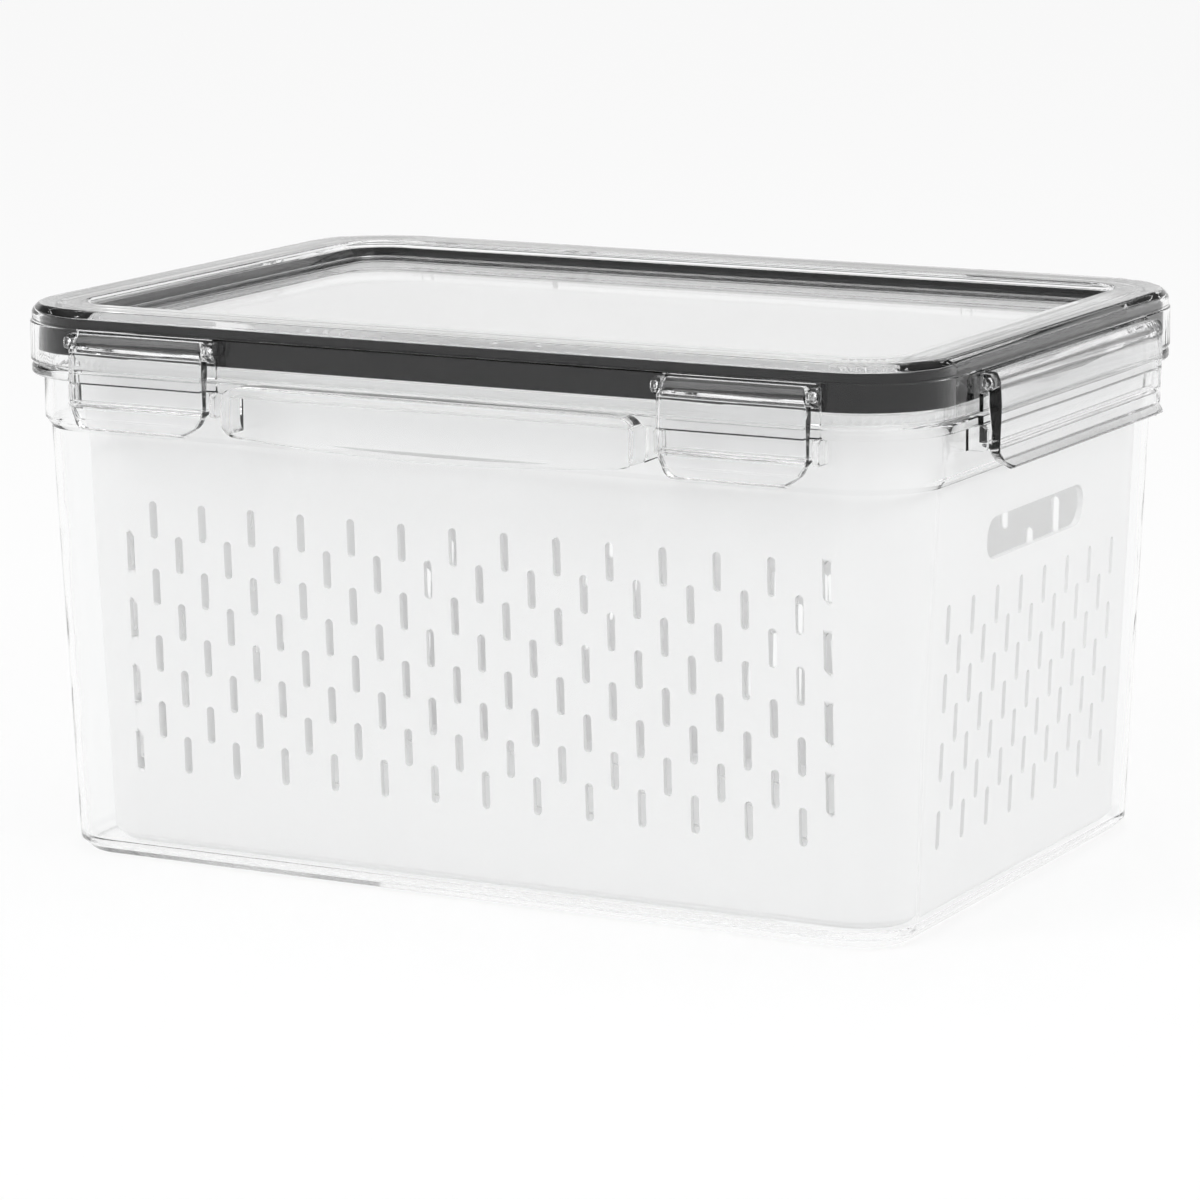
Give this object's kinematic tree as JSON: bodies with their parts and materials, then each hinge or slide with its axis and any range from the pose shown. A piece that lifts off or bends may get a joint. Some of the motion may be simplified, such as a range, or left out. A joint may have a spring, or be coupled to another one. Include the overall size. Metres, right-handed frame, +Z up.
{
  "type": "produce keeper",
  "caption": "Clear latching food storage bin with a slotted white drainer basket inside and a recessed lid on a black gasket.",
  "frame": {"origin": "middle of the underside the bin stands on", "axes": "+X along the long side, towards the right end seen from the front; -Y out of the front; +Z up through the lid"},
  "size_m": [0.3424, 0.2424, 0.18],
  "materials": {
    "clear_plastic": "clear, polished moulding",
    "basket_plastic": "white, fine satin moulding",
    "gasket_rubber": "smooth black silicone"
  },
  "bodies": {
    "bin": {"bin": "clear_plastic"},
    "basket": {"basket": "basket_plastic"},
    "lid": {"lid": "clear_plastic", "gasket": "gasket_rubber"},
    "latch_front_left": {"latch_front_left": "clear_plastic"},
    "latch_front_right": {"latch_front_right": "clear_plastic"},
    "latch_back_left": {"latch_back_left": "clear_plastic"},
    "latch_back_right": {"latch_back_right": "clear_plastic"},
    "latch_end_left": {"latch_end_left": "clear_plastic"},
    "latch_end_right": {"latch_end_right": "clear_plastic"}
  },
  "joints": [
    {"name": "basket_lift", "type": "slide", "parent": "bin", "child": "basket", "axis": [0, 0, 1], "range_m": [0, 0.18]},
    {"name": "lid_lift", "type": "slide", "parent": "basket", "child": "lid", "axis": [0, 0, 1], "range_m": [0, 0.12]},
    {"name": "latch_front_left_turn", "type": "hinge", "parent": "lid", "child": "latch_front_left", "pos_m": [-0.1045, -0.1148, 0.1706], "axis": [-1, 0, 0], "range_deg": [0, 110]},
    {"name": "latch_front_right_turn", "type": "hinge", "parent": "lid", "child": "latch_front_right", "pos_m": [0.1045, -0.1148, 0.1706], "axis": [-1, 0, 0], "range_deg": [0, 110]},
    {"name": "latch_back_left_turn", "type": "hinge", "parent": "lid", "child": "latch_back_left", "pos_m": [-0.1045, 0.1148, 0.1706], "axis": [1, 0, 0], "range_deg": [0, 110]},
    {"name": "latch_back_right_turn", "type": "hinge", "parent": "lid", "child": "latch_back_right", "pos_m": [0.1045, 0.1148, 0.1706], "axis": [1, 0, 0], "range_deg": [0, 110]},
    {"name": "latch_end_left_turn", "type": "hinge", "parent": "lid", "child": "latch_end_left", "pos_m": [-0.1648, 0, 0.1706], "axis": [0, 1, 0], "range_deg": [0, 110]},
    {"name": "latch_end_right_turn", "type": "hinge", "parent": "lid", "child": "latch_end_right", "pos_m": [0.1648, 0, 0.1706], "axis": [0, -1, 0], "range_deg": [0, 110]}
  ]
}
